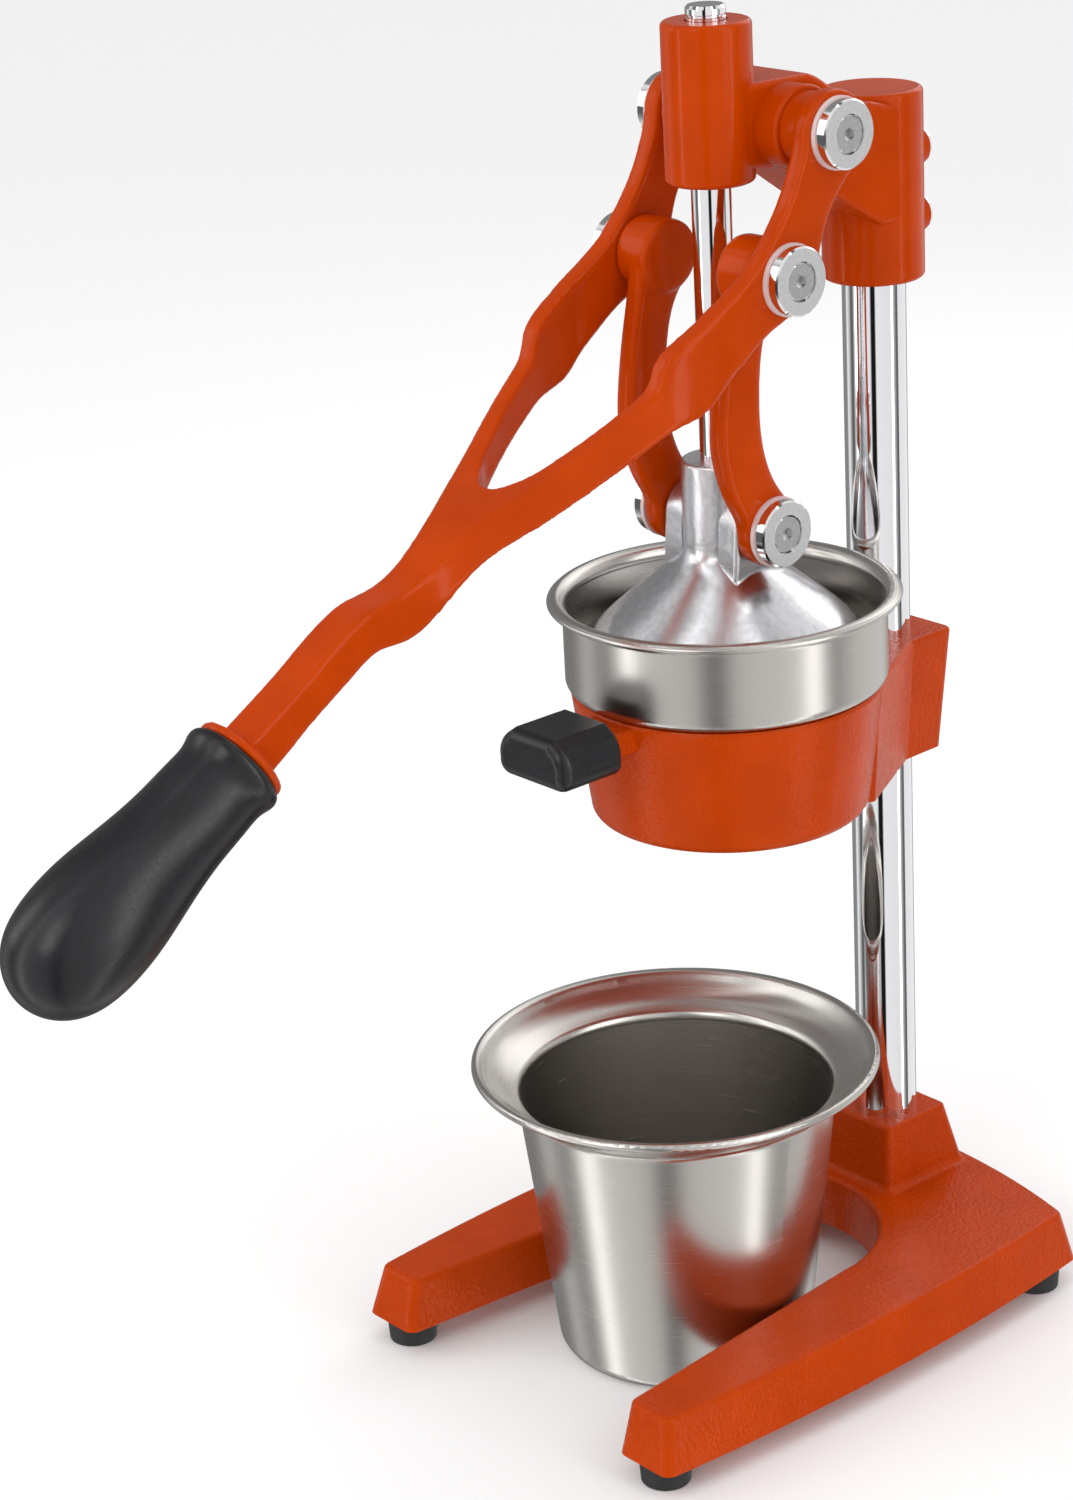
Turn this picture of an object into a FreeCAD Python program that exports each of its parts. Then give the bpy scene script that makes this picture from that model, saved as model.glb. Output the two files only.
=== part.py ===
import FreeCAD, Part
import Sketcher
import math
import os
from FreeCAD import Vector

doc = FreeCAD.newDocument("citrus_press")

# Driving dimensions in millimetres. The pillar's axis stands at x = 0, y = 0, the front is -Y and
# the floor is z = 0; ORIGIN_SHIFT then moves every piece so that the origin is under the middle.
SIZES = [
    ("full_turn", 360),
    ("foot_height", 10), ("base_top", 30), ("casting_draft", 13), ("gap_draft", 6),
    ("pedestal_top", 54.5), ("bowl_radius", 58.5), ("bowl_foot", 255),
    ("pillar_radius", 11.65), ("pillar_bore", 9.2), ("pillar_foot", 24), ("pillar_end", 450),
    ("rod_offset", 79.4), ("rod_radius", 7.0), ("rod_foot", 300), ("rod_end", 497.5),
    ("sleeve_radius", 18.6), ("sleeve_foot", 388.5), ("sleeve_top", 457),
    ("guide_radius", 15.7), ("guide_foot", 436.9), ("guide_top", 492.4), ("guide_bore", 9.2),
    ("bridge_width", 40), ("cross_radius", 14.6), ("cross_half", 26), ("journal_boss", 12.8),
    ("lever_y", 58.5), ("lever_z", 455), ("knee_y", 82.8), ("knee_z", 409.1), ("cone_pin_z", 316.6),
    ("arm_inner", 33), ("arm_outer", 40.6), ("spacer_thick", 1.5), ("washer_thick", 4.4),
    ("washer_radius", 12), ("screw_radius", 3), ("key_radius", 2.45), ("shaft_radius", 8),
    ("journal_radius", 6.5), ("bush_radius", 8.5), ("pin_radius", 5),
    ("link_inner", 19.5), ("link_outer", 27.5), ("link_boss_inner", 17.6), ("link_boss_outer", 32.7),
    ("link_eye", 12.9), ("grip_radius", 22.2), ("collar_radius", 16.6),
    ("sheet_thick", 1.2), ("holder_foot_radius", 51), ("holder_foot", 206.5),
    ("holder_top", 254.8), ("block_top", 253.3), ("block_draft", 4), ("drain_radius", 9),
    ("cone_radius", 50), ("neck_radius", 14), ("neck_top", 338.5), ("ear_outer", 18.8),
    ("cup_rim_radius", 75.7), ("cup_rim", 117), ("cup_offset", 112), ("foot_radius", 9.6),
    ("foot_thread", 2.5), ("foot_hole_depth", 22), ("bolt_clear", 4.3), ("bolt_recess", 11),
    ("recess_depth", 16), ("bolt_boss", 6.9), ("rod_clear", 7.5), ("rod_bush", 7.05),
    ("shaft_shoulder", 32.8), ("bush_bore", 6.55), ("knee_bore", 5.05), ("knee_pin_end", 20.6), ("knee_bore_end", 20.3), ("ear_bore", 5.2),
    ("lock_radius", 2.5), ("strainer_hole", 1.5),
]
sheet = doc.addObject("Spreadsheet::Sheet", "Sizes")
for row, (alias, value) in enumerate(SIZES, 1):
    sheet.set("A%d" % row, alias)
    sheet.set("B%d" % row, str(value))
    sheet.setAlias("B%d" % row, alias)
doc.recompute()
SIZE = {alias: float(sheet.get(alias)) for alias, value in SIZES}

ORIGIN_SHIFT = 179.47
PIECES = []


def cell(alias):
    """The expression that names a cell of the sheet."""
    return "Sizes." + alias


def number(value):
    """A coordinate as a number, whether it is given as a number or as an alias."""
    return SIZE[value] if isinstance(value, str) else float(value)


def point(pair):
    return Vector(number(pair[0]), number(pair[1]), 0)


def keep(item, name, base=(0, 0, 0), rotation=None):
    """Names a finished sub-part, places it and lists it for writing."""
    item.Label = name
    place = Vector(base[0], base[1] + ORIGIN_SHIFT, base[2])
    item.Placement = FreeCAD.Placement(place, rotation or FreeCAD.Rotation())
    PIECES.append(item)
    return item


def new_body(name):
    return doc.addObject("PartDesign::Body", name)


def origin_plane(body, role):
    return [item for item in body.Origin.OriginFeatures if item.Role == role][0]


def edges_of(steps):
    """Edges of a closed outline. A step is a point, ("arc", middle, end), ("curve", points...) or
    ("flow", start direction, end direction, points...)."""
    edges, bound = [], []
    at = steps[0]
    for step in steps[1:] + [steps[0]]:
        if step[0] == "arc":
            edges.append(Part.Arc(point(at), point(step[1]), point(step[2])))
            end = step[2]
        elif step[0] == "curve":
            curve = Part.BSplineCurve()
            curve.interpolate([point(at)] + [point(pair) for pair in step[1:]])
            edges.append(curve)
            end = step[-1]
        elif step[0] == "flow":
            curve = Part.BSplineCurve()
            curve.interpolate(Points=[point(at)] + [point(pair) for pair in step[3:]],
                              InitialTangent=point(step[1]), FinalTangent=point(step[2]))
            edges.append(curve)
            end = step[-1]
        else:
            end = step
            if (point(at) - point(end)).Length < 1e-6:
                continue
            edges.append(Part.LineSegment(point(at), point(end)))
            bound.append((len(edges) - 1, at, end))
        at = end
    return edges, bound


def new_sketch(body, name, role, steps, offset=0.0):
    """A sketch on an origin plane of the body; corners given by an alias are bound to the sheet."""
    sketch = body.newObject("Sketcher::SketchObject", name)
    sketch.AttachmentSupport = [(origin_plane(body, role), "")]
    sketch.MapMode = "FlatFace"
    sketch.AttachmentOffset = FreeCAD.Placement(Vector(0, 0, offset), FreeCAD.Rotation())
    edges, bound = edges_of(steps)
    sketch.addGeometry(edges, False)
    for index, start, end in bound:
        for corner, pair in ((1, start), (2, end)):
            for kind, value in (("DistanceX", pair[0]), ("DistanceY", pair[1])):
                if isinstance(value, str):
                    number_of = sketch.addConstraint(
                        Sketcher.Constraint(kind, -1, 1, index, corner, SIZE[value]))
                    sketch.setExpression("Constraints[%d]" % number_of, cell(value))
    return sketch


def circle_sketch(body, name, role, centres, alias, offset=0.0):
    """A sketch of equal circles whose radius is a cell of the sheet."""
    sketch = new_sketch(body, name, role, [(0, 0)], offset)
    for centre in centres:
        index = sketch.addGeometry(Part.Circle(point(centre), Vector(0, 0, 1), SIZE[alias]), False)
        number_of = sketch.addConstraint(Sketcher.Constraint("Radius", index, SIZE[alias]))
        sketch.setExpression("Constraints[%d]" % number_of, cell(alias))
    return sketch


def pad(body, name, sketch, formula, symmetric=False, back=False):
    item = body.newObject("PartDesign::Pad", name)
    item.Profile = sketch
    item.setExpression("Length", formula)
    item.SideType = "Symmetric" if symmetric else "One side"
    item.Reversed = back
    return item


def pocket(body, name, sketch, formula, symmetric=False, back=False):
    """Cuts the sketch out of the body, and checks that it took something away."""
    doc.recompute()
    before = body.Shape.Volume
    item = body.newObject("PartDesign::Pocket", name)
    item.Profile = sketch
    item.setExpression("Length", formula)
    item.SideType = "Symmetric" if symmetric else "One side"
    item.Reversed = back
    doc.recompute()
    if body.Shape.Volume > before - 1e-3:
        raise RuntimeError(body.Name + "." + name + " cuts nothing")
    return item


def loft(body, name, lower, upper):
    item = body.newObject("PartDesign::AdditiveLoft", name)
    item.Profile = lower
    item.Sections = [upper]
    item.Ruled = True
    return item


def soften(body, name, radius, choose, chamfer=False):
    """Rounds or bevels the edges of the body's tip that the rule picks."""
    doc.recompute()
    tip = body.Tip
    names = ["Edge%d" % (n + 1) for n, edge in enumerate(tip.Shape.Edges) if choose(edge)]
    if not names:
        raise RuntimeError(body.Name + "." + name + " found no edge")
    item = body.newObject("PartDesign::Chamfer" if chamfer else "PartDesign::Fillet", name)
    item.Base = (tip, names)
    setattr(item, "Size" if chamfer else "Radius", radius)
    doc.recompute()
    if "Invalid" in item.State or "Error" in item.State or not body.Shape.isValid():
        raise RuntimeError(body.Name + "." + name + " failed on " + " ".join(names))
    return item


TURN = {"x": ("XY_Plane", "H_Axis"), "y": ("YZ_Plane", "H_Axis"), "z": ("XZ_Plane", "V_Axis")}


def turned(name, axis, steps):
    """A turned piece. About z the outline is (radius, height); about x or y it is (place, radius)."""
    body = new_body(name)
    role, line = TURN[axis]
    sketch = new_sketch(body, name + "_profile", role, steps)
    item = body.newObject("PartDesign::Revolution", name + "_turn")
    item.Profile = sketch
    item.ReferenceAxis = (sketch, [line])
    item.setExpression("Angle", cell("full_turn"))
    return body


def cylinder(name, radius, length, base, direction):
    """A cylinder whose radius and length are expressions."""
    item = doc.addObject("Part::Cylinder", name)
    item.setExpression("Radius", radius)
    item.setExpression("Height", length)
    turn = FreeCAD.Rotation(Vector(0, 0, 1), Vector(*direction))
    item.Placement = FreeCAD.Placement(Vector(*base), turn)
    return item


def fused(name, items):
    item = doc.addObject("Part::MultiFuse", name)
    item.Shapes = items
    return item


def cut(name, base, tool):
    item = doc.addObject("Part::Cut", name)
    item.Base = base
    item.Tool = tool
    return item


def group(name, items):
    """Equal fasteners that share one node."""
    item = doc.addObject("Part::Compound", name)
    item.Links = items
    return keep(item, name)


def mirrored(item):
    other = doc.addObject("Part::Mirroring", item.Name + "_far")
    other.Source = item
    other.Normal = Vector(1, 0, 0)
    return other


def pair(name, near):
    """The near piece and its mirror image on the other side of the press."""
    return group(name, [near, mirrored(near)])


def at(body, y, z, x=0.0):
    body.Placement = FreeCAD.Placement(Vector(x, y, z), FreeCAD.Rotation())
    return body


def near_z(edge, height, gap=0.05):
    return abs(edge.BoundBox.ZMin - height) < gap and abs(edge.BoundBox.ZMax - height) < gap


# ---------------------------------------------------------------- base and feet

RECESS = (49.0, 76.0)          # radius and distance of the round recess between the legs
FOOT_PLACES = [(71.0, -188.5), (-71.0, -188.5), (73.0, 5.0), (-73.0, 5.0)]


def build_base():
    body = new_body("base_casting")
    outer, rear = (84.0, -199.6), (83.0, 17.5)
    slab = new_sketch(body, "slab_outline", "XY_Plane", [
        outer, ("arc", (89.6, -95.0), rear), ("arc", (0.0, 30.5), (-rear[0], rear[1])),
        ("arc", (-89.6, -95.0), (-outer[0], outer[1]))], SIZE["foot_height"])
    slab_pad = pad(body, "slab", slab, "Sizes.base_top - Sizes.foot_height")
    slab_pad.setExpression("TaperAngle", "-Sizes.casting_draft")
    radius, middle = RECESS
    gap = new_sketch(body, "gap_outline", "XY_Plane", [
        (61.5, -215.0), (radius, -middle), ("arc", (0.0, radius - middle), (-radius, -middle)),
        (-61.5, -215.0)], SIZE["base_top"])
    gap_cut = pocket(body, "leg_gap", gap, "Sizes.base_top - Sizes.foot_height")
    gap_cut.setExpression("TaperAngle", "-Sizes.gap_draft")

    def upright(edge):
        box = edge.BoundBox
        return box.ZLength > 15 and box.XLength < 8 and box.YLength < 8 and abs(box.Center.x) > 50

    soften(body, "leg_corners", 4.5, upright)
    soften(body, "top_edges", 2.2, lambda edge: near_z(edge, SIZE["base_top"]))
    half, top_half = 21.5, 16.3
    plinth = new_sketch(body, "plinth_lower", "XY_Plane",
                        [(half, half), (-half, half), (-half, -half), (half, -half)],
                        SIZE["base_top"] - 1.0)
    cap = new_sketch(body, "plinth_upper", "XY_Plane",
                     [(top_half, top_half), (-top_half, top_half), (-top_half, -top_half),
                      (top_half, -top_half)], SIZE["pedestal_top"])
    loft(body, "pedestal", plinth, cap)

    def pedestal_corner(edge):
        box = edge.BoundBox
        return box.ZLength > 20 and box.ZMax > SIZE["pedestal_top"] - 1

    soften(body, "pedestal_corners", 2.6, pedestal_corner)
    soften(body, "pedestal_rim", 1.4, lambda edge: near_z(edge, SIZE["pedestal_top"]))

    def pedestal_foot(edge):
        box = edge.BoundBox
        return near_z(edge, SIZE["base_top"]) and max(abs(box.XMin), abs(box.XMax)) < 23 \
            and max(abs(box.YMin), abs(box.YMax)) < 23

    soften(body, "pedestal_skirt", 3.5, pedestal_foot)
    seat = circle_sketch(body, "pillar_seat", "XY_Plane", [(0, 0)], "pillar_radius",
                         SIZE["pedestal_top"])
    pocket(body, "pillar_hole", seat, "Sizes.pedestal_top - Sizes.pillar_foot")
    through = circle_sketch(body, "bolt_circle", "XY_Plane", [(0, 0)], "bolt_clear",
                            SIZE["pillar_foot"])
    pocket(body, "bolt_hole", through, cell("pillar_foot"))
    under = circle_sketch(body, "nut_circle", "XY_Plane", [(0, 0)], "bolt_recess", 0.0)
    pocket(body, "nut_recess", under, cell("recess_depth"), back=True)
    screws = circle_sketch(body, "foot_circles", "XY_Plane", FOOT_PLACES, "foot_thread", 0.0)
    pocket(body, "foot_holes", screws, cell("foot_hole_depth"), back=True)
    return keep(body, "base_casting")


def build_feet():
    names = ["foot_front_right", "foot_front_left", "foot_rear_right", "foot_rear_left"]
    screws = []
    for name, (x, y) in zip(names, FOOT_PLACES):
        foot = turned(name, "z", [
            (2.6, 3.4), (5.4, 3.4), (5.4, 0.0), (8.2, 0.0), ("arc", (8.75, 0.25), (9.0, 0.8)),
            ("foot_radius", "foot_height"), (2.6, "foot_height")])
        keep(foot, name, (x, y, 0))
        head = cylinder(name + "_head", "4.6", "2", (x, y, 1.4), (0, 0, 1))
        shank = cylinder(name + "_shank", cell("foot_thread"), "14.6", (x, y, 3.4), (0, 0, 1))
        screws.append(fused(name + "_screw", [head, shank]))
    group("foot_screws", screws)


def build_pillar():
    tube = turned("pillar_tube", "z", [
        ("pillar_bore", "pillar_foot"), ("pillar_radius", "pillar_foot"),
        ("pillar_radius", "pillar_end"), ("pillar_bore", "pillar_end")])
    keep(tube, "pillar_tube")
    plug = turned("pillar_plug", "z", [
        (4.0, "pillar_foot"), ("pillar_bore", "pillar_foot"), ("pillar_bore", 46), (4.0, 46)])
    keep(plug, "pillar_plug")
    washer = turned("pillar_washer", "z", [(4.3, 14.4), (9.5, 14.4), (9.5, 16.0), (4.3, 16.0)])
    keep(washer, "pillar_washer")
    head = doc.addObject("Part::Prism", "pillar_bolt_head")
    head.Polygon = 6
    head.setExpression("Circumradius", "7.5")
    head.setExpression("Height", "5.3")
    head.Placement = FreeCAD.Placement(Vector(0, 0, 9.1), FreeCAD.Rotation())
    shank = cylinder("pillar_bolt_shank", "4", "30", (0, 0, 14.4), (0, 0, 1))
    keep(fused("pillar_bolt", [head, shank]), "pillar_bolt")


# ---------------------------------------------------------------- head

HEAD_BOLTS = (432.3, 407.7)


def build_head():
    body = new_body("head_casting")
    front = -SIZE["rod_offset"]
    web = new_sketch(body, "web_side", "YZ_Plane", [
        (0.0, 452.0), (-17.0, 456.2), ("curve", (-26.0, 457.6), (-36.0, 464.5), (-46.0, 470.4)),
        (front + 4.0, 471.0), (front + 4.0, 442.0), (-62.0, 440.5), (-50.0, 436.0), (-31.5, 423.5),
        (-12.0, 411.5), (0.0, 411.5)])
    pad(body, "web", web, cell("bridge_width"), symmetric=True)
    for sign, name in ((1, "right"), (-1, "left")):
        flank = new_sketch(body, "flank_" + name, "XY_Plane", [
            (sign * 15.2, front - 9.0), (sign * 15.2, front + 4.0), (sign * 18.3, 2.0),
            (sign * 30.0, 2.0), (sign * 30.0, front - 9.0)], 400.0)
        pocket(body, "flank_cut_" + name, flank, "80", back=True)
    soften(body, "web_edges", 2.2, lambda edge: edge.BoundBox.XLength < 3.5
           and edge.BoundBox.YLength > 0.5)
    sleeve = circle_sketch(body, "sleeve_circle", "XY_Plane", [(0, 0)], "sleeve_radius",
                           SIZE["sleeve_foot"])
    pad(body, "sleeve", sleeve, "Sizes.sleeve_top - Sizes.sleeve_foot")
    guide = circle_sketch(body, "guide_circle", "XY_Plane", [(0, front)], "guide_radius",
                          SIZE["guide_foot"])
    pad(body, "guide", guide, "Sizes.guide_top - Sizes.guide_foot")
    pivot = (-SIZE["lever_y"], SIZE["lever_z"])
    cross = circle_sketch(body, "cross_circle", "YZ_Plane", [pivot], "cross_radius")
    pad(body, "cross_boss", cross, "2 * Sizes.cross_half", symmetric=True)
    soften(body, "cross_edges", 1.2, lambda edge: abs(abs(edge.BoundBox.XMin) - SIZE["cross_half"])
           < 0.05 and abs(abs(edge.BoundBox.XMax) - SIZE["cross_half"]) < 0.05)
    ends = circle_sketch(body, "journal_circle", "YZ_Plane", [pivot], "journal_boss")
    pad(body, "journal_bosses", ends, "2 * Sizes.arm_inner - 0.8", symmetric=True)
    lugs = circle_sketch(body, "lug_circles", "XZ_Plane", [(0, z) for z in HEAD_BOLTS],
                         "bolt_boss", -23.4)
    pad(body, "bolt_lugs", lugs, "8", back=False)

    def rims(edge):
        box = edge.BoundBox
        return (near_z(edge, SIZE["sleeve_top"]) or near_z(edge, SIZE["sleeve_foot"])
                or near_z(edge, SIZE["guide_top"]) or near_z(edge, SIZE["guide_foot"])) \
            and box.XLength > 20

    soften(body, "rims", 1.8, rims)
    seat = circle_sketch(body, "sleeve_bore", "XY_Plane", [(0, 0)], "pillar_radius",
                         SIZE["sleeve_foot"])
    pocket(body, "sleeve_hole", seat, "Sizes.pillar_end - Sizes.sleeve_foot + 0.5", back=True)
    bore = circle_sketch(body, "guide_bore_circle", "XY_Plane", [(0, front)], "guide_bore",
                         SIZE["guide_foot"])
    pocket(body, "guide_hole", bore, "Sizes.guide_top - Sizes.guide_foot - 4", back=True)
    lip = circle_sketch(body, "guide_lip_circle", "XY_Plane", [(0, front)], "rod_clear",
                        SIZE["guide_foot"])
    pocket(body, "guide_mouth", lip, "Sizes.guide_top - Sizes.guide_foot", back=True)
    axle = circle_sketch(body, "axle_circle", "YZ_Plane", [pivot], "shaft_radius")
    pocket(body, "axle_hole", axle, "2 * Sizes.arm_inner", symmetric=True)
    taps = circle_sketch(body, "tap_circles", "XZ_Plane", [(0, z) for z in HEAD_BOLTS],
                         "screw_radius", -24.0)
    pocket(body, "tap_holes", taps, "13", back=True)
    keep(body, "head_casting")

    bolts = []
    for place, z in enumerate(HEAD_BOLTS):
        bolt = turned("head_bolt_%d" % place, "y", [
            (11.7, 0.0), (27.4, 0.0), ("arc", (26.8, 3.6), (25.0, 6.2)), (23.4, 6.6),
            (23.4, "screw_radius"), (11.7, "screw_radius")])
        bolts.append(at(bolt, 0.0, z))
    group("head_bolts", bolts)

    for name, low, high in (("guide_bush_lower", 439.0, 453.0), ("guide_bush_upper", 472.0, 486.0)):
        bush = turned(name, "z", [("rod_bush", low), ("guide_bore", low), ("guide_bore", high),
                                  ("rod_bush", high)])
        keep(bush, name, (0, front, 0))


# ---------------------------------------------------------------- pivots

def washer_profile(inner, chamfer=0.6):
    """A countersunk cover washer standing on x = 0, with its outer face at washer_thick."""
    thick, radius = SIZE["washer_thick"], SIZE["washer_radius"]
    return [(inner, 3.1), (inner, radius - 0.3), (inner + 0.3, radius),
            (inner + thick - chamfer, radius), (inner + thick, radius - chamfer),
            (inner + thick, 6.9), (inner + thick - 0.9, 6.9), (inner + thick - 3.7, 3.1)]


def hex_screw(name, inner, depth):
    """A countersunk socket screw whose head sits just under the washer's outer face."""
    face = inner + SIZE["washer_thick"] - 0.25
    screw = turned(name, "x", [
        (inner - depth, 0.0), (face, 0.0), (face, 6.2), (face - 0.35, 6.6), (face - 0.75, 6.6),
        (face - 3.5, "screw_radius"), (inner - depth, "screw_radius")])
    key = doc.addObject("Part::Prism", name + "_key")
    key.Polygon = 6
    key.setExpression("Circumradius", cell("key_radius"))
    key.Height = 2.6
    key.Placement = FreeCAD.Placement(Vector(face - 2.4, 0, 0), FreeCAD.Rotation(Vector(0, 1, 0), 90))
    doc.recompute()
    return cut(name + "_socket", screw, key)


def pivot_hardware(prefix, y, z, spacer_from, washer_from, depth, hole):
    """Spacer, washer and screw on both sides of one pivot."""
    spacer = turned(prefix + "_spacer_near", "x", [
        (spacer_from, hole), (spacer_from, 12.6), (washer_from, 12.6), (washer_from, hole)])
    pair(prefix + "_spacers", at(spacer, y, z))
    washer = turned(prefix + "_washer_near", "x", washer_profile(washer_from))
    pair(prefix + "_washers", at(washer, y, z))
    pair(prefix + "_screws", at(hex_screw(prefix + "_screw_near", washer_from, depth), y, z))


def build_pivots():
    arm, spacer = SIZE["arm_outer"], SIZE["spacer_thick"]
    washer_at = arm + 0.1 + spacer
    top = (-SIZE["lever_y"], SIZE["lever_z"])
    knee = (-SIZE["knee_y"], SIZE["knee_z"])
    foot = (-SIZE["rod_offset"], SIZE["cone_pin_z"])

    half = [(0.0, 0.0), (washer_at - 10.5, 0.0), (washer_at - 10.5, 3.0), (washer_at, 3.0),
            (washer_at, "journal_radius"), ("shaft_shoulder", "journal_radius"),
            ("shaft_shoulder", "shaft_radius"), (0.0, "shaft_radius")]
    near = at(turned("upper_shaft_near", "x", half), *top)
    keep(fused("upper_shaft", [near, mirrored(near)]), "upper_shaft")
    pivot_hardware("upper", top[0], top[1], arm + 0.1, washer_at, 10.0, SIZE["journal_radius"])

    pin = turned("knee_pin_near", "x", [
        ("knee_pin_end", 0.0), (washer_at - 10.5, 0.0), (washer_at - 10.5, 3.0),
        (washer_at, 3.0), (washer_at, "pin_radius"), ("knee_pin_end", "pin_radius")])
    pair("knee_pins", at(pin, *knee))
    pivot_hardware("knee", knee[0], knee[1], arm, washer_at, 10.0, SIZE["pin_radius"])

    link = SIZE["link_outer"]
    pin = turned("cone_pin_near", "x", [
        ("link_inner", 0.0), (link - 4.4, 0.0), (link - 4.4, 3.0), (link + spacer, 3.0),
        (link + spacer, "pin_radius"), ("link_inner", "pin_radius")])
    pair("cone_pins", at(pin, *foot))
    pivot_hardware("cone", foot[0], foot[1], link, link + spacer, 5.0, SIZE["pin_radius"])


# ---------------------------------------------------------------- lever and links

HANDLE_ANGLE = 31.5            # degrees below the horizontal
HANDLE_ROOT = (-294.3, 287.4)
LEVER_RUN = (-math.cos(math.radians(HANDLE_ANGLE)), -math.sin(math.radians(HANDLE_ANGLE)))


def along(distance, across=0.0):
    """A point of the side view, measured along the handle and across it, upwards."""
    turn = math.radians(HANDLE_ANGLE)
    return (HANDLE_ROOT[0] - distance * math.cos(turn) - across * math.sin(turn),
            HANDLE_ROOT[1] - distance * math.sin(turn) + across * math.cos(turn))


def build_lever():
    body = new_body("lever_blank")
    eye_y, eye_z, eye = -SIZE["lever_y"], SIZE["lever_z"], 14.6
    side = new_sketch(body, "lever_side", "YZ_Plane", [
        (eye_y - eye, eye_z), ("arc", (eye_y, eye_z + eye), (-46.5, 446.6)),
        ("curve", (-52.6, 439.3), (-61.0, 430.0),
         (-66.0, 419.5), (-69.0, 409.0), (-74.0, 400.2), (-83.0, 395.3), (-92.0, 391.8),
         (-104.0, 384.0), (-114.0, 376.2), (-120.4, 370.8), (-127.0, 368.4), (-134.5, 366.6), (-142.6, 362.6), (-151.0, 358.0),
         (-165.6, 349.9), (-183.4, 340.3), (-199.5, 331.9), (-211.0, 322.4), (-223.9, 313.2),
         (-233.0, 311.0), (-242.9, 310.8), (-252.5, 305.8), along(-24.0, -6.2), along(-12.0, -7.0)),
        along(3.0, -7.4), along(3.0, 7.4), along(-16.0, 7.2),
        ("curve", along(-24.0, 7.2), along(-32.0, 7.4), (-261.0, 317.2), (-252.0, 322.4),
         (-244.0, 325.4), (-236.0, 326.6), (-228.5, 328.6), (-221.0, 332.4),
         (-214.0, 337.0), (-206.0, 342.4), (-196.6, 348.1), (-182.0, 355.4), (-165.0, 365.3),
         (-155.8, 371.0), (-145.9, 377.1), (-139.4, 382.6), (-136.6, 389.6), (-131.6, 394.6),
         (-124.0, 398.9), (-112.6, 405.6), (-100.1, 413.0), (-92.9, 419.6), (-86.4, 427.2),
         (-81.5, 434.2), (-77.4, 442.0), (-74.1, 450.2), (eye_y - eye, eye_z))])
    pad(body, "lever_block", side, "3 * Sizes.arm_outer", symmetric=True)
    inner, outer, stem = SIZE["arm_inner"], SIZE["arm_outer"], 8.4
    crotch = [(32.6, -118.0), (31.2, -128.0), (28.2, -141.0), (23.6, -155.0), (16.4, -171.0),
              (8.6, -182.5), (0.0, -187.0)]
    flank = [(40.1, -118.0), (38.8, -129.0), (36.0, -141.0), (31.8, -155.0), (25.4, -172.0),
             (17.6, -190.0), (11.4, -206.0), (8.8, -220.0), (stem, -234.0)]
    plan_body = new_body("lever_plan")
    plan = new_sketch(plan_body, "fork_plan", "XY_Plane", [
        (inner, -30.0), (inner, -106.0),
        ["flow", (0.0, -1.0), (0.0, 1.0)] + crotch + [(-x, y) for x, y in crotch[-2::-1]]
        + [(-inner, -106.0)],
        (-inner, -30.0), (-outer, -30.0), (-outer, -106.0),
        ["flow", (0.0, -1.0), (0.0, -1.0)] + [(-x, y) for x, y in flank],
        (-stem, -310.0), (stem, -310.0), (stem, -234.0),
        ["flow", (0.0, 1.0), (0.0, 1.0)] + flank[-2::-1] + [(outer, -106.0)],
        (outer, -30.0)])
    pad(plan_body, "fork_prism", plan, "1200", symmetric=True)
    blank = doc.addObject("Part::Common", "lever_common")
    blank.Base = body
    blank.Tool = plan_body
    doc.recompute()
    pivots = circle_sketch(body, "lever_eye", "YZ_Plane", [(eye_y, eye_z)], "bush_radius")
    pocket(body, "lever_eye_hole", pivots, "100", symmetric=True)
    knee = circle_sketch(body, "knee_eye", "YZ_Plane", [(-SIZE["knee_y"], SIZE["knee_z"])],
                         "pin_radius")
    pocket(body, "knee_eye_hole", knee, "100", symmetric=True)
    doc.recompute()

    root = Vector(0, along(0)[0], along(0)[1])
    down = Vector(0, along(1)[0] - along(0)[0], along(1)[1] - along(0)[1])
    collar = cylinder("collar", cell("collar_radius"), "3.4", tuple(root), tuple(down))
    tang = cylinder("tang", "7", "72", tuple(root), tuple(down))
    keep(fused("lever_fork", [blank, collar, tang]), "lever_fork")

    bush = turned("arm_bush_near", "x", [
        ("arm_inner", "bush_bore"), ("arm_inner", "bush_radius"), ("arm_outer", "bush_radius"),
        ("arm_outer", "bush_bore")])
    pair("arm_bushes", at(bush, eye_y, eye_z))


def build_grip():
    """The moulded grip is turned about z and laid along the handle."""
    grip = turned("hand_grip", "z", [
        (7.0, 3.4), (16.4, 3.4), ("curve", (17.6, 4.4), (18.0, 6.0), (17.2, 9.5), (16.8, 18.0),
                                  (17.2, 30.0), (18.4, 43.0), (20.2, 55.0), (21.7, 66.0),
                                  ("grip_radius", 76.0), (21.5, 86.0), (19.0, 95.0),
                                  (13.8, 102.5), (6.8, 107.0), (0.0, 108.2)),
        (0.0, 72.5), (7.0, 72.5)])
    down = Vector(0, along(1)[0] - along(0)[0], along(1)[1] - along(0)[1])
    turn = FreeCAD.Rotation(Vector(0, 0, 1), down)
    keep(grip, "hand_grip", (0, HANDLE_ROOT[0], HANDLE_ROOT[1]), turn)


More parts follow.
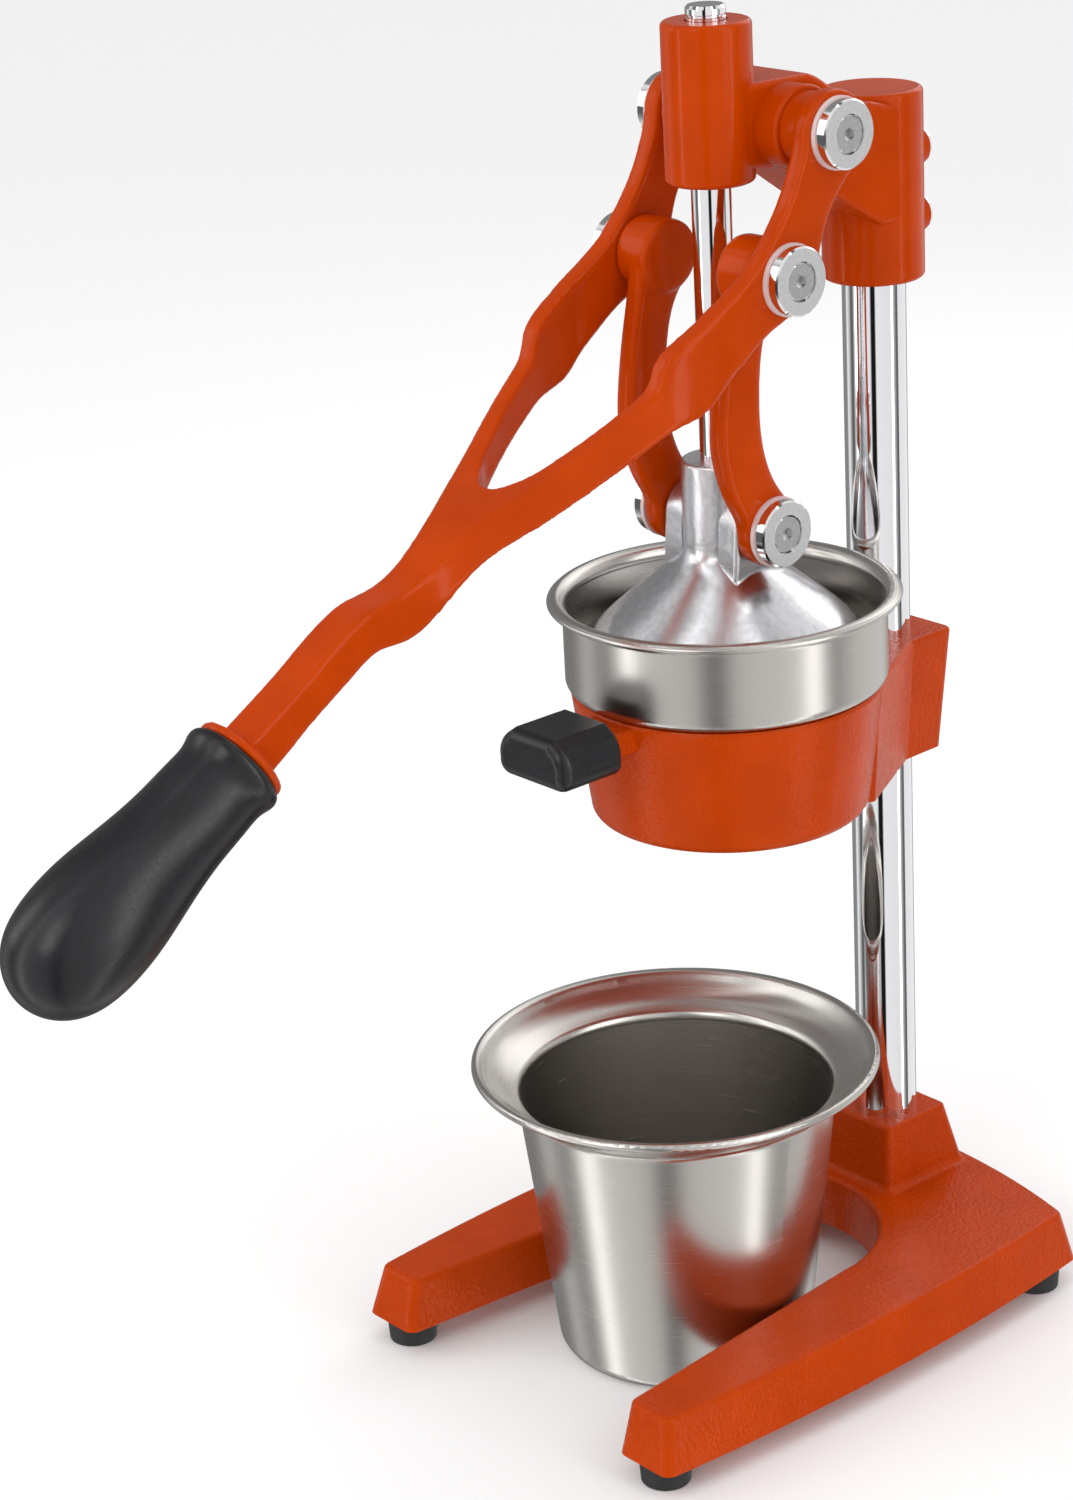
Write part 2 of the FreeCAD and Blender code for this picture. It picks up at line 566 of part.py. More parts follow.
def build_links():
    knee = (-SIZE["knee_y"], SIZE["knee_z"])
    foot = (-SIZE["rod_offset"], SIZE["cone_pin_z"])
    eye = SIZE["link_eye"]
    for name, sign in (("link_right", 1), ("link_left", -1)):
        body = new_body(name)
        inner, outer = sorted((sign * SIZE["link_inner"], sign * SIZE["link_outer"]))
        side = new_sketch(body, name + "_side", "YZ_Plane", [
            (knee[0] - eye, knee[1]), ("arc", (knee[0], knee[1] + eye), (knee[0] + eye, knee[1])),
            ("curve", (-70.6, 404.8), (-73.4, 399.4), (-78.2, 393.0), (-82.4, 382.0), (-84.2, 366.0),
             (-83.4, 350.0), (-79.2, 337.0), (-72.0, 326.6), (-67.6, 321.0), (foot[0] + eye, foot[1])),
            ("arc", (foot[0], foot[1] - eye), (foot[0] - eye, foot[1])),
            ("curve", (-92.9, 320.8), (-96.6, 328.0), (-101.0, 338.0), (-103.6, 350.0), (-102.8, 366.0),
             (-100.0, 383.0), (-97.0, 397.0), (-95.9, 404.0), (knee[0] - eye, knee[1]))], inner)
        pad(body, name + "_plate", side, "Sizes.link_outer - Sizes.link_inner")
        soften(body, name + "_edges", 2.4, lambda edge: edge.BoundBox.XLength < 0.05)
        boss_inner = sign * SIZE["link_boss_inner"]
        boss = circle_sketch(body, name + "_boss", "YZ_Plane", [knee], "link_eye", boss_inner)
        pad(body, name + "_eye", boss, "Sizes.link_boss_outer - Sizes.link_boss_inner",
            back=sign < 0)
        soften(body, name + "_boss_edges", 1.5, lambda edge: edge.BoundBox.XLength < 0.05
               and (abs(abs(edge.BoundBox.XMin) - SIZE["link_boss_inner"]) < 0.05))
        holes = circle_sketch(body, name + "_knee", "YZ_Plane", [knee], "knee_bore",
                              sign * SIZE["knee_bore_end"])
        pocket(body, name + "_knee_hole", holes, "20", back=sign > 0)
        holes = circle_sketch(body, name + "_foot", "YZ_Plane", [foot], "pin_radius")
        pocket(body, name + "_foot_hole", holes, "120", symmetric=True)
        keep(body, name)


# ---------------------------------------------------------------- rod and cone

def build_press():
    front = -SIZE["rod_offset"]
    rod = turned("guide_rod", "z", [
        (0.0, "rod_foot"), ("rod_radius", "rod_foot"), ("rod_radius", 493.4), (6.5, 493.7),
        (6.5, 494.3), ("rod_radius", 494.6), ("rod_radius", 496.5), (6.2, "rod_end"),
        (0.0, "rod_end")])
    keep(rod, "guide_rod", (0, front, 0))

    cone = turned("press_cone", "z", [
        (0.0, 291.4), (0.0, "rod_foot"), ("rod_radius", "rod_foot"), ("rod_radius", "neck_top"),
        (12.6, "neck_top"), ("arc", (13.6, 338.1), ("neck_radius", 337.0)), ("neck_radius", 307.4),
        ("curve", (14.7, 304.6), (16.6, 302.2), (22.4, 297.4), (30.6, 290.8), (38.8, 284.0),
         (45.0, 278.4), (48.6, 274.2), ("cone_radius", 269.8)),
        ("cone_radius", 266.0), (47.6, 266.0),
        ("curve", (45.0, 270.6), (38.4, 276.6), (29.0, 283.6), (17.0, 289.4), (0.0, 291.4))])
    for sign, name in ((1, "right"), (-1, "left")):
        ear = new_sketch(cone, "ear_" + name, "YZ_Plane", [
            (-12.0, 297.0), (-10.6, "cone_pin_z"),
            ("arc", (0.0, SIZE["cone_pin_z"] + 10.6), (10.6, SIZE["cone_pin_z"])), (12.0, 297.0)],
            sign * 9.5)
        pad(cone, "ear_pad_" + name, ear, "Sizes.ear_outer - 9.5", back=sign < 0)
    soften(cone, "ear_edges", 1.6, lambda edge: edge.BoundBox.XLength < 0.05
           and abs(abs(edge.BoundBox.XMin) - SIZE["ear_outer"]) < 0.05)
    for sign, name in ((1, "right"), (-1, "left")):
        hole = circle_sketch(cone, "ear_hole_" + name, "YZ_Plane", [(0.0, SIZE["cone_pin_z"])],
                             "ear_bore", sign * 12.5)
        pocket(cone, "ear_bore_" + name, hole, "8", back=sign > 0)
    tap = circle_sketch(cone, "lock_circle", "XZ_Plane", [(0.0, 330.0)], "lock_radius", 0.0)
    pocket(cone, "lock_hole", tap, "20")
    keep(cone, "press_cone", (0, front, 0))
    lock = turned("cone_lock_screw", "y", [
        ("rod_radius", 0.0), (11.0, 0.0), (11.2, 1.2), (13.0, 1.3), (13.0, "lock_radius"),
        ("rod_radius", "lock_radius")])
    keep(lock, "cone_lock_screw", (0, front, 330.0))


# ---------------------------------------------------------------- bowl, holder and cup

def build_bowl():
    """Sheet-metal strainer: rolled rim, straight wall, flat floor, fluted reamer in the middle."""
    thick, wall = SIZE["sheet_thick"], SIZE["bowl_radius"]
    floor = SIZE["bowl_foot"]
    bowl = turned("strainer_bowl", "z", [
        (0.0, floor + 26.4), ("curve", (3.0, floor + 25.6), (9.0, floor + 19.0), (17.0, floor + 7.0),
                              (21.0, floor + 2.0), (26.0, floor)),
        (wall - 4.0, floor), ("arc", (wall - 1.2, floor + 1.2), (wall, floor + 4.0)),
        ("bowl_radius", 283.4), ("curve", (59.3, 286.0), (61.6, 287.4), (63.2, 286.6)),
        ("arc", (63.95, 287.4), (63.4, 288.6)),
        ("curve", (61.4, 289.6), (58.9, 288.6), (57.3, 284.0)),
        (wall - thick, floor + 4.2), ("arc", (wall - 2.1, floor + 2.1), (wall - 4.2, floor + thick)),
        (27.0, floor + thick), ("curve", (22.2, floor + 3.2), (18.2, floor + 8.2),
                                (10.2, floor + 20.2), (4.0, floor + 27.0), (0.0, floor + 27.8))])
    rings = [(31.0, 16), (37.5, 20), (44.0, 24), (50.0, 28)]
    places = [(ring * math.cos(2 * math.pi * n / count), ring * math.sin(2 * math.pi * n / count))
              for ring, count in rings for n in range(count)]
    holes = circle_sketch(bowl, "strainer_circles", "XY_Plane", places, "strainer_hole", floor - 2.0)
    pocket(bowl, "strainer_holes", holes, "6", back=True)
    keep(bowl, "strainer_bowl", (0, -SIZE["rod_offset"], 0))


def holder_arm_outline(half, rear):
    """Plan of the clamp block and of the flare that joins it to the round holder."""
    y = SIZE["rod_offset"]
    return [(half, y + rear), (-half, y + rear), (-half - 0.5, y - 3.0), (-half - 21.0, 38.0),
            (-half - 14.0, 22.0), (half + 14.0, 22.0), (half + 21.0, 38.0), (half + 0.5, y - 3.0)]


def build_holder():
    """The holder's own origin is on the bowl's axis; its arm reaches back round the pillar."""
    back = SIZE["rod_offset"]
    body = turned("bowl_holder", "z", [
        (0.0, "holder_foot"), (46.6, "holder_foot"),
        ("arc", (49.7, 207.7), ("holder_foot_radius", 210.6)), (56.7, 253.6), (56.0, "holder_top"),
        (0.0, "holder_top")])
    low = new_sketch(body, "arm_plan", "XY_Plane", holder_arm_outline(15.5, 17.0),
                     SIZE["holder_foot"] - 1.0)
    arm = pad(body, "arm", low, "Sizes.block_top - Sizes.holder_foot + 1")
    arm.setExpression("TaperAngle", "Sizes.block_draft")

    def block_edges(edge):
        box = edge.BoundBox
        return box.ZLength > 30 and box.YMin > back - 6.0

    soften(body, "block_corners", 3.0, block_edges)

    def block_rims(edge):
        box = edge.BoundBox
        return near_z(edge, SIZE["block_top"]) and box.YMin > 70.0

    soften(body, "block_rim", 1.5, block_rims)
    lug = new_sketch(body, "lug_front", "XZ_Plane", [
        (-10.0, 245.0), (10.0, 245.0), ("arc", (11.2, 245.6), (11.6, 247.0)), (11.0, 252.6),
        ("arc", (10.4, 253.6), (9.2, 254.0)), (-9.2, 254.0), ("arc", (-10.4, 253.6), (-11.0, 252.6)),
        (-11.6, 247.0), ("arc", (-11.2, 245.6), (-10.0, 245.0))], 50.0)
    pad(body, "lug", lug, "40")
    cavity_top = new_sketch(body, "cavity_high", "XY_Plane",
                            [(52.4, 0.0), ("arc", (0.0, 52.4), (-52.4, 0.0)),
                             ("arc", (0.0, -52.4), (52.4, 0.0))], SIZE["holder_top"] + 0.2)
    cavity_low = new_sketch(body, "cavity_low", "XY_Plane",
                            [(46.6, 0.0), ("arc", (0.0, 46.6), (-46.6, 0.0)),
                             ("arc", (0.0, -46.6), (46.6, 0.0))], SIZE["holder_foot"] + 7.0)
    item = body.newObject("PartDesign::SubtractiveLoft", "cavity")
    item.Profile = cavity_top
    item.Sections = [cavity_low]
    item.Ruled = True
    drain = circle_sketch(body, "drain_circle", "XY_Plane", [(0, 0)], "drain_radius",
                          SIZE["holder_foot"] - 2.0)
    pocket(body, "drain", drain, "20", back=True)
    seat = circle_sketch(body, "pillar_circle", "XY_Plane", [(0, back)], "pillar_radius",
                         SIZE["holder_foot"] - 2.0)
    pocket(body, "pillar_way", seat, "60", back=True)
    tap = circle_sketch(body, "clamp_circle", "XZ_Plane", [(0.0, 230.0)], "screw_radius", -back)
    pocket(body, "clamp_hole", tap, "30", back=False)
    keep(body, "bowl_holder", (0, -back, 0))

    screw = turned("holder_clamp_screw", "y", [
        (11.7, 0.0), (15.2, 0.0), (15.3, 1.5), (17.6, 1.6), (17.6, "screw_radius"),
        (11.7, "screw_radius")])
    keep(screw, "holder_clamp_screw", (0, 0, 230.0))


def build_holder_grip():
    """A moulded cap pushed on the holder's front lug."""
    body = new_body("holder_grip")
    section = new_sketch(body, "cap_section", "XZ_Plane", [
        (-12.0, 241.6), (12.0, 241.6), ("arc", (16.4, 243.3), (17.9, 248.2)),
        ("arc", (17.2, 253.6), (14.4, 257.2)), (10.4, 260.0), (-10.4, 260.0), (-14.4, 257.2),
        ("arc", (-17.2, 253.6), (-17.9, 248.2)), ("arc", (-16.4, 243.3), (-12.0, 241.6))], 147.6)
    pad(body, "cap", section, "27.4")
    soften(body, "cap_nose", 4.6, lambda edge: abs(edge.BoundBox.YMax + 175.0) < 0.05)
    soften(body, "cap_mouth", 1.0, lambda edge: abs(edge.BoundBox.YMin + 147.6) < 0.05)
    socket = new_sketch(body, "socket_section", "XZ_Plane", [
        (-11.6, 244.9), (11.6, 244.9), (11.6, 254.1), (-11.6, 254.1)], 147.0)
    pocket(body, "socket", socket, "22.6", back=True)
    keep(body, "holder_grip")


def build_cup():
    """Sheet-metal juice cup with a flared mouth and a rolled rim."""
    rim = SIZE["cup_rim"]
    cup = turned("juice_cup", "z", [
        (0.0, 0.0), (42.0, 0.0), ("arc", (46.0, 1.3), (47.9, 4.6)), (59.4, rim - 15.4),
        ("curve", (60.4, rim - 13.0), (63.6, rim - 11.0), (68.0, rim - 7.8), (71.6, rim - 4.4),
         (73.2, rim - 3.0)),
        ("arc", (75.6, rim - 2.4), ("cup_rim_radius", rim - 1.4)),
        ("arc", (75.2, rim - 0.4), (74.0, rim)),
        ("curve", (72.2, rim - 0.8), (70.6, rim - 2.8), (66.8, rim - 6.6), (62.6, rim - 9.4),
         (59.0, rim - 11.6), (58.0, rim - 14.6)),
        (46.6, 5.6), ("arc", (45.0, 2.6), (42.0, 1.4)), (0.0, 1.4)])
    keep(cup, "juice_cup", (0, -SIZE["cup_offset"], 0))


build_base()
build_feet()
build_pillar()
build_head()
build_pivots()
build_lever()
build_grip()
build_links()
build_press()
build_bowl()
build_holder()
build_holder_grip()
build_cup()
doc.recompute()

for item in doc.Objects:
    if "Invalid" in item.State or "Error" in item.State:
        raise RuntimeError("failed: " + item.Name)
for item in PIECES:
    if item.Shape.isNull() or not item.Shape.isValid():
        raise RuntimeError("bad shape: " + item.Label)

os.makedirs("parts", exist_ok=True)
for item in PIECES:
    item.Shape.exportStep("parts/" + item.Label + ".step")

low = min(item.Shape.BoundBox.YMin for item in PIECES)
high = max(item.Shape.BoundBox.YMax for item in PIECES)
print("pieces", len(PIECES), "depth", round(low, 3), round(high, 3))
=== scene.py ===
import math

import bpy
from mathutils import Matrix, Vector

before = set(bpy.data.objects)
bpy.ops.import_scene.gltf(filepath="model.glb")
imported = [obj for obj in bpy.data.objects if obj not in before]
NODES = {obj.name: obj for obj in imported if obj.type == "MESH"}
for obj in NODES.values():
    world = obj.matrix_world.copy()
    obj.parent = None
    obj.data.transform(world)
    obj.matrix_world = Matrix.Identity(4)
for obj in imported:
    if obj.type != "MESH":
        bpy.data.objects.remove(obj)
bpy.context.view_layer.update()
MM = 0.001


# ---------------------------------------------------------------- materials

def adder(tree):
    """A helper that adds a node to the tree and sets its inputs and properties by name."""
    def add(kind, **values):
        node = tree.nodes.new(kind)
        for key, value in values.items():
            if key in node.inputs:
                node.inputs[key].default_value = value
            else:
                setattr(node, key, value)
        return node

    return add


def material(name):
    """A node material with its own Principled shader, and a helper that adds nodes to it."""
    made = bpy.data.materials.new(name)
    made.use_nodes = True
    tree = made.node_tree
    return made, tree, tree.nodes["Principled BSDF"], adder(tree)


def place(tree, add, scale=(1, 1, 1)):
    """Object coordinates in metres, stretched by scale."""
    where = add("ShaderNodeTexCoord")
    fit = add("ShaderNodeMapping")
    fit.inputs["Scale"].default_value = scale
    tree.links.new(where.outputs["Object"], fit.inputs["Vector"])
    return fit.outputs["Vector"]


def noise(tree, add, vector, scale, detail=3.0, rough=0.5):
    node = add("ShaderNodeTexNoise", Scale=scale, Detail=detail, Roughness=rough)
    tree.links.new(vector, node.inputs["Vector"])
    return node.outputs["Fac"]


def ramp(tree, add, value, stops):
    """A colour ramp: stops are (position, colour)."""
    node = add("ShaderNodeValToRGB")
    marks = node.color_ramp.elements
    while len(marks) < len(stops):
        marks.new(0.5)
    for mark, (position, colour) in zip(marks, stops):
        mark.position = position
        mark.color = (*colour, 1.0)
    tree.links.new(value, node.inputs["Fac"])
    return node.outputs["Color"]


def span(tree, add, value, low, high, start=0.3, stop=0.7):
    """Maps a noise value onto low..high."""
    node = add("ShaderNodeMapRange")
    for key, number in (("From Min", start), ("From Max", stop), ("To Min", low), ("To Max", high)):
        node.inputs[key].default_value = number
    tree.links.new(value, node.inputs["Value"])
    return node.outputs["Result"]


def bumps(tree, add, shader, layers):
    """Stacks bump layers: (height output, distance in metres, strength)."""
    last = None
    for height, distance, strength in layers:
        node = add("ShaderNodeBump", Strength=strength, Distance=distance)
        tree.links.new(height, node.inputs["Height"])
        if last:
            tree.links.new(last, node.inputs["Normal"])
        last = node.outputs["Normal"]
    tree.links.new(last, shader.inputs["Normal"])
    tree.links.new(last, shader.inputs["Coat Normal"])


def orange_paint(name, pebble, wave, rough):
    """Powder coat over a casting: pebbled orange peel, a slow wave and a slightly darker drift."""
    made, tree, shader, add = material(name)
    where = place(tree, add)
    drift = noise(tree, add, where, 38.0, 4.0)
    colour = ramp(tree, add, drift, [(0.30, (0.430, 0.039, 0.0)), (0.72, (0.500, 0.047, 0.0))])
    tree.links.new(colour, shader.inputs["Base Color"])
    tree.links.new(span(tree, add, noise(tree, add, where, 240.0), rough - 0.05, rough + 0.09),
                   shader.inputs["Roughness"])
    shader.inputs["Coat Weight"].default_value = 0.11
    shader.inputs["Coat Roughness"].default_value = 0.07
    shader.inputs["Specular IOR Level"].default_value = 0.10
    shader.inputs["Specular Tint"].default_value = (1.0, 0.5, 0.3, 1.0)
    bumps(tree, add, shader, [
        (noise(tree, add, where, 60.0, 2.0), wave * MM, 0.6),
        (noise(tree, add, where, 640.0, 2.0), pebble * MM, 1.0)])
    return made


def metal(name, colour, rough, grain, depth, spread=0.05, stretch=(1, 1, 1), tint=0.08, brushed=0):
    """Metal whose grain (per metre) may be stretched into brush lines that run round the Z axis."""
    made, tree, shader, add = material(name)
    where = place(tree, add, stretch)
    lines = noise(tree, add, where, grain, 4.0, 0.6)
    shade = ramp(tree, add, lines, [(0.25, tuple(c * (1 - tint) for c in colour)), (0.75, colour)])
    tree.links.new(shade, shader.inputs["Base Color"])
    shader.inputs["Metallic"].default_value = 1.0
    tree.links.new(span(tree, add, lines, max(0.02, rough - spread), rough + spread),
                   shader.inputs["Roughness"])
    bumps(tree, add, shader, [(lines, depth * MM, 0.5)])
    if brushed:
        shader.inputs["Anisotropic"].default_value = brushed
        round_z = add("ShaderNodeTangent", direction_type="RADIAL", axis="Z")
        tree.links.new(round_z.outputs["Tangent"], shader.inputs["Tangent"])
    return made


def machined_chrome(name, edge_rough, face_rough, dark, light):
    """Chrome that is bright on its rim and satin on the faces that look along the pivots."""
    made, tree, shader, add = material(name)
    where = place(tree, add)
    fine = noise(tree, add, where, 900.0, 3.0)
    shade = ramp(tree, add, fine, [(0.3, (dark, dark, dark)), (0.7, (light, light, light))])
    tree.links.new(shade, shader.inputs["Base Color"])
    shader.inputs["Metallic"].default_value = 1.0
    facing = add("ShaderNodeSeparateXYZ")
    tree.links.new(add("ShaderNodeTexCoord").outputs["Normal"], facing.inputs[0])
    size = add("ShaderNodeMath", operation="ABSOLUTE")
    tree.links.new(facing.outputs["X"], size.inputs[0])
    tree.links.new(span(tree, add, size.outputs[0], edge_rough, face_rough, 0.85, 0.97),
                   shader.inputs["Roughness"])
    bumps(tree, add, shader, [(fine, 0.008 * MM, 0.5)])
    return made


def plastic(name, dark, light, rough, grain, depth, soft=0.0):
    made, tree, shader, add = material(name)
    where = place(tree, add)
    cloud = noise(tree, add, where, 55.0, 3.0)
    tree.links.new(ramp(tree, add, cloud, [(0.3, dark), (0.7, light)]), shader.inputs["Base Color"])
    fine = noise(tree, add, where, grain, 3.0)
    tree.links.new(span(tree, add, fine, rough - 0.05, rough + 0.06), shader.inputs["Roughness"])
    shader.inputs["Specular IOR Level"].default_value = 0.38
    shader.inputs["Subsurface Weight"].default_value = soft
    shader.inputs["Subsurface Scale"].default_value = 0.002
    bumps(tree, add, shader, [(fine, depth * MM, 0.5)])
    return made


def cast_aluminium(name, neck_from, neck_full):
    """A cone polished in the lathe below a neck and ears left as cast; heights in metres."""
    made, tree, shader, add = material(name)
    where = place(tree, add)
    fine = noise(tree, add, where, 420.0, 4.0, 0.6)
    shade = ramp(tree, add, fine, [(0.3, (0.62, 0.62, 0.64)), (0.7, (0.74, 0.74, 0.76))])
    tree.links.new(shade, shader.inputs["Base Color"])
    shader.inputs["Metallic"].default_value = 1.0
    height = add("ShaderNodeSeparateXYZ")
    tree.links.new(where, height.inputs[0])
    cast = span(tree, add, height.outputs["Z"], 0.0, 1.0, neck_from, neck_full)
    tree.links.new(span(tree, add, cast, 0.24, 0.36, 0.0, 1.0), shader.inputs["Roughness"])
    lumps = noise(tree, add, where, 260.0, 3.0)
    level = add("ShaderNodeMath", operation="MULTIPLY")
    tree.links.new(lumps, level.inputs[0])
    tree.links.new(cast, level.inputs[1])
    rings = noise(tree, add, place(tree, add, (0.1, 0.1, 6.0)), 300.0, 2.0)
    bumps(tree, add, shader, [(level.outputs[0], 0.35 * MM, 0.8), (rings, 0.004 * MM, 0.4),
                              (fine, 0.012 * MM, 0.5)])
    return made


PEBBLED = orange_paint("orange_pebbled", pebble=0.30, wave=0.30, rough=0.24)
CAST = orange_paint("orange_cast", pebble=0.03, wave=0.22, rough=0.19)
CHROME = metal("chrome", (0.88, 0.88, 0.90), rough=0.05, grain=300.0, depth=0.002, spread=0.02,
               tint=0.03)
FACED = machined_chrome("chrome_faced", edge_rough=0.08, face_rough=0.34, dark=0.78, light=0.88)
SCREW = machined_chrome("screw_faced", edge_rough=0.12, face_rough=0.30, dark=0.60, light=0.72)
ZINC = metal("zinc", (0.64, 0.64, 0.66), rough=0.28, grain=500.0, depth=0.01)
SATIN = metal("satin_steel", (0.55, 0.53, 0.50), rough=0.26, grain=200.0, depth=0.0005,
              spread=0.015, stretch=(0.1, 0.1, 9.0), tint=0.02, brushed=0.6)
ALUMINIUM = cast_aluminium("cast_aluminium", neck_from=0.301, neck_full=0.310)
BRONZE = metal("bronze", (0.62, 0.42, 0.20), rough=0.30, grain=400.0, depth=0.01)
GRIP = plastic("black_grip", (0.006, 0.006, 0.007), (0.010, 0.010, 0.012), rough=0.32,
               grain=900.0, depth=0.02)
RUBBER = plastic("foot_rubber", (0.012, 0.012, 0.012), (0.022, 0.022, 0.022), rough=0.62,
                 grain=700.0, depth=0.05)
NYLON = plastic("nylon", (0.62, 0.46, 0.46), (0.74, 0.60, 0.60), rough=0.40, grain=500.0,
                depth=0.01, soft=0.2)

FINISHES = {
    "base_casting": PEBBLED, "bowl_holder": PEBBLED, "head_casting": CAST, "lever_fork": CAST,
    "link_right": CAST, "link_left": CAST,
    "foot_front_right": RUBBER, "foot_front_left": RUBBER, "foot_rear_right": RUBBER,
    "foot_rear_left": RUBBER, "foot_screws": ZINC,
    "pillar_tube": CHROME, "pillar_plug": ZINC, "pillar_washer": ZINC, "pillar_bolt": ZINC,
    "head_bolts": CHROME, "guide_rod": CHROME, "guide_bush_lower": BRONZE,
    "guide_bush_upper": BRONZE, "arm_bushes": BRONZE, "upper_shaft": ZINC, "knee_pins": ZINC,
    "cone_pins": ZINC, "upper_spacers": NYLON, "knee_spacers": NYLON, "cone_spacers": NYLON,
    "upper_washers": FACED, "knee_washers": FACED, "cone_washers": FACED,
    "upper_screws": SCREW, "knee_screws": SCREW, "cone_screws": SCREW,
    "strainer_bowl": SATIN, "juice_cup": SATIN, "press_cone": ALUMINIUM,
    "cone_lock_screw": ZINC, "holder_clamp_screw": ZINC,
    "hand_grip": GRIP, "holder_grip": GRIP,
}
for name, finish in FINISHES.items():
    data = NODES[name].data
    data.materials.clear()
    data.materials.append(finish)


# ---------------------------------------------------------------- cast edges

SEAM_GAP = 0.00002             # metres; vertices closer than this are one
LUMP_SIZE = 0.035              # metres
UNEVENNESS = 0.3               # millimetres


def cast_skin(piece, voxel, rounds):
    """Gives a casting the soft, slightly uneven edges that a sand or die casting has."""
    weld = piece.modifiers.new("weld", "WELD")
    weld.merge_threshold = SEAM_GAP
    skin = piece.modifiers.new("skin", "REMESH")
    skin.mode = "VOXEL"
    skin.voxel_size = voxel * MM
    skin.use_smooth_shade = True
    soft = piece.modifiers.new("soft", "SMOOTH")
    soft.factor = 0.5
    soft.iterations = rounds
    cloud = bpy.data.textures.new(piece.name + "_cloud", "CLOUDS")
    cloud.noise_scale = LUMP_SIZE
    push = piece.modifiers.new("uneven", "DISPLACE")
    push.texture = cloud
    push.texture_coords = "LOCAL"
    push.strength = UNEVENNESS * MM
    push.mid_level = 0.5


cast_skin(NODES["lever_fork"], voxel=0.7, rounds=32)
cast_skin(NODES["link_right"], voxel=0.9, rounds=5)
cast_skin(NODES["link_left"], voxel=0.9, rounds=5)


# ---------------------------------------------------------------- stage, light and camera

FLOOR_REACH = 200.0            # metres from the middle to each side
floor_mesh = bpy.data.meshes.new("floor")
floor_mesh.from_pydata([(x * FLOOR_REACH, y * FLOOR_REACH, 0)
                        for x, y in ((-1, -1), (1, -1), (1, 1), (-1, 1))], [], [(0, 1, 2, 3)])
floor = bpy.data.objects.new("floor", floor_mesh)
bpy.context.scene.collection.objects.link(floor)
ground, _, ground_shader, _ = material("floor_white")
ground_shader.inputs["Base Color"].default_value = (0.92, 0.92, 0.92, 1)
ground_shader.inputs["Roughness"].default_value = 0.7
ground_shader.inputs["Specular IOR Level"].default_value = 0.1
floor.data.materials.append(ground)
floor.visible_glossy = False

world = bpy.data.worlds.new("studio")
bpy.context.scene.world = world
world.use_nodes = True
world_tree = world.node_tree
world_node = adder(world_tree)

# A white room with soft grey bays round it: the bays run floor to ceiling, so upright chrome
# shows them as dark bands, while the camera and diffuse light see the even white.
WHITE_ROOM = 0.97
STRIP = 5.0                    # two narrow strip lights between the bays
BAYS = [(0.0, 0.25), (0.03, 0.30), (0.045, 0.95), (0.065, 0.80), (0.115, 0.12), (0.135, 0.12),
        (0.165, 0.85), (0.170, STRIP), (0.182, STRIP), (0.187, 0.88), (0.325, 0.88), (0.338, 0.01),
        (0.376, 0.01), (0.386, 0.90), (0.546, 0.85), (0.550, STRIP), (0.562, STRIP), (0.567, 0.85),
        (0.594, 0.13), (0.615, 0.13), (0.650, 0.88), (0.79, 0.95), (0.82, 0.25), (1.0, 0.25)]
seen_from = world_node("ShaderNodeTexCoord")
parts = world_node("ShaderNodeSeparateXYZ")
bearing = world_node("ShaderNodeMath", operation="ARCTAN2")
turn_share = world_node("ShaderNodeMapRange")
turn_share.inputs["From Min"].default_value = -math.pi
turn_share.inputs["From Max"].default_value = math.pi
bays = ramp(world_tree, world_node, turn_share.outputs["Result"],
            [(position, (level / STRIP,) * 3) for position, level in BAYS])
brighten = world_node("ShaderNodeVectorMath", operation="SCALE")
brighten.inputs["Scale"].default_value = STRIP
rays = world_node("ShaderNodeLightPath")
choose = world_node("ShaderNodeMix", data_type="RGBA")
choose.inputs["A"].default_value = (WHITE_ROOM, WHITE_ROOM, WHITE_ROOM, 1)
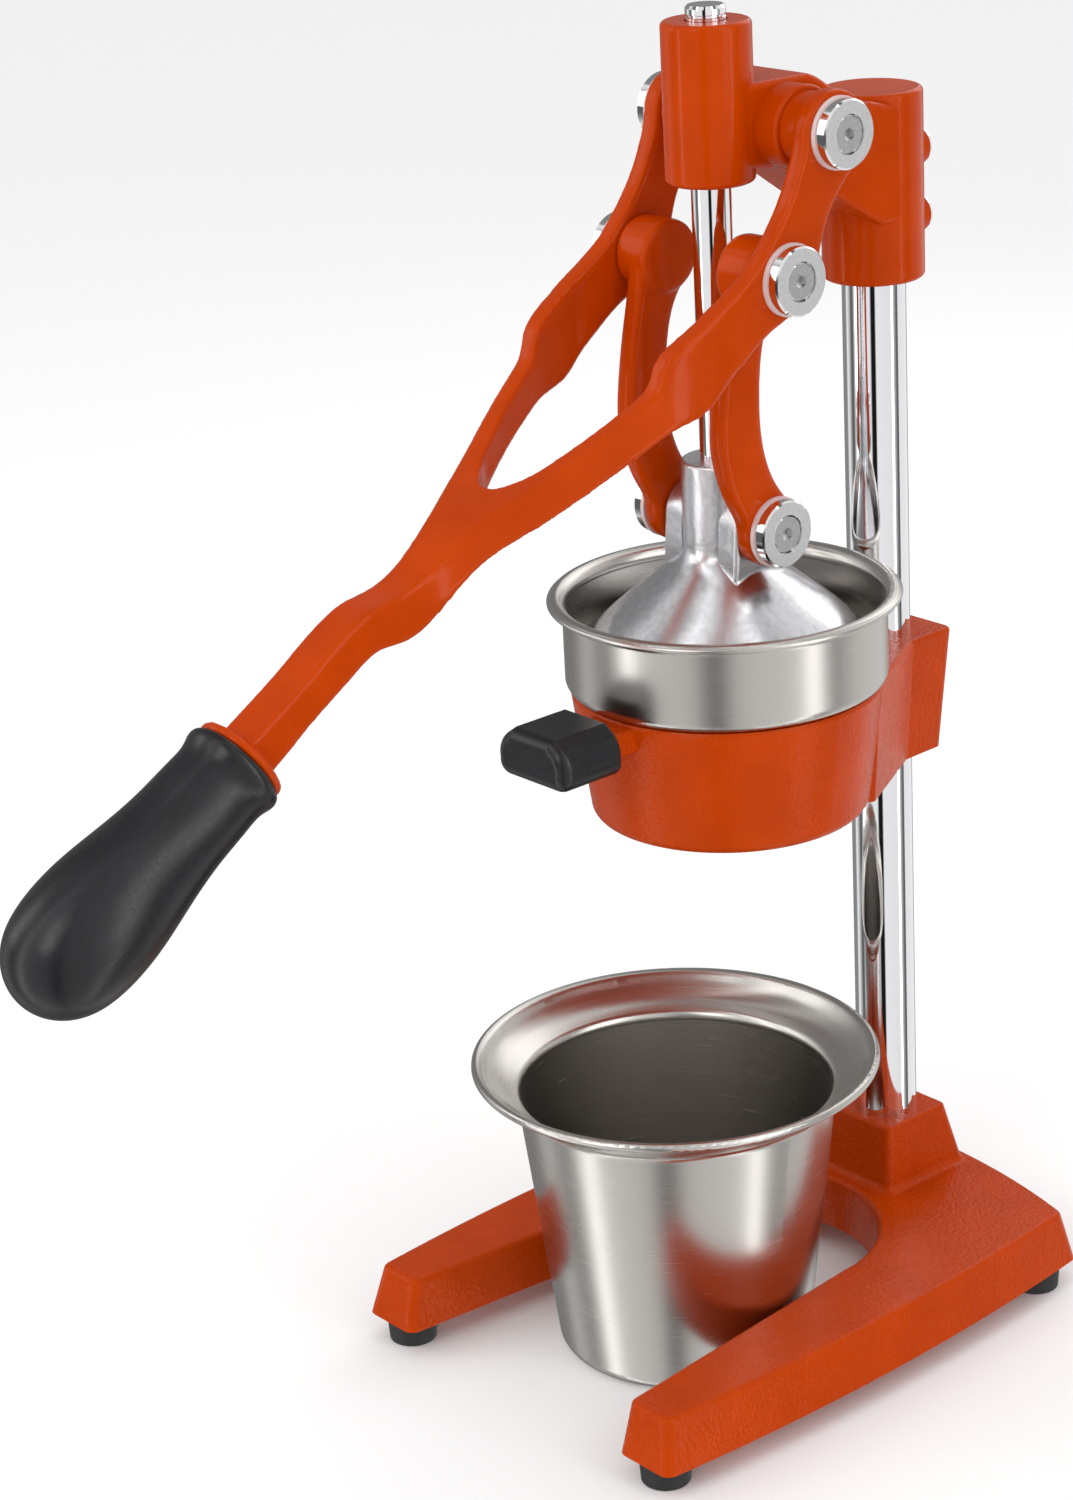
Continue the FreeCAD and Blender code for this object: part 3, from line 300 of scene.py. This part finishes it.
for start, end in (
        (seen_from.outputs["Generated"], parts.inputs[0]), (parts.outputs["Y"], bearing.inputs[0]),
        (parts.outputs["X"], bearing.inputs[1]), (bearing.outputs[0], turn_share.inputs["Value"]),
        (bays, brighten.inputs[0]), (brighten.outputs[0], choose.inputs["B"]),
        (rays.outputs["Is Glossy Ray"], choose.inputs["Factor"]),
        (choose.outputs["Result"], world_tree.nodes["Background"].inputs["Color"])):
    world_tree.links.new(start, end)


def softbox(name, at, aim, size, power):
    data = bpy.data.lights.new(name, "AREA")
    data.shape = "RECTANGLE"
    data.size, data.size_y = size
    data.energy = power
    lamp = bpy.data.objects.new(name, data)
    bpy.context.scene.collection.objects.link(lamp)
    lamp.location = at
    lamp.rotation_euler = (Vector(aim) - Vector(at)).to_track_quat("-Z", "Y").to_euler()


MIDDLE = (0.0, 0.0, 0.25)
softbox("key", (0.35, -1.30, 1.25), MIDDLE, (0.5, 0.9), 5.0)
softbox("side", (1.35, 0.20, 0.75), MIDDLE, (0.4, 1.2), 3.0)
softbox("fill", (-1.2, -0.9, 0.9), MIDDLE, (0.5, 1.0), 3.0)
softbox("back", (-0.4, 1.3, 1.0), MIDDLE, (1.0, 0.8), 3.0)

CAMERA_AT = (0.87767, -0.72806, 0.69183)
YAW, PITCH, ROLL = 50.0, 20.92, -3.05
camera_data = bpy.data.cameras.new("camera")
camera = bpy.data.objects.new("camera", camera_data)
bpy.context.scene.collection.objects.link(camera)
bpy.context.scene.camera = camera
yaw, pitch, roll = math.radians(YAW), math.radians(PITCH), math.radians(ROLL)
back = Vector((math.sin(yaw) * math.cos(pitch), -math.cos(yaw) * math.cos(pitch), math.sin(pitch)))
right = Vector((math.cos(yaw), math.sin(yaw), 0.0))
up = back.cross(right)
across = math.cos(roll) * right + math.sin(roll) * up
rise = math.cos(roll) * up - math.sin(roll) * right
turned_to = Matrix((across, rise, back)).transposed().to_4x4()
camera.matrix_world = Matrix.Translation(CAMERA_AT) @ turned_to
camera_data.lens = 84.9
camera_data.sensor_width = 36.0

bpy.context.scene.view_settings.view_transform = "Standard"
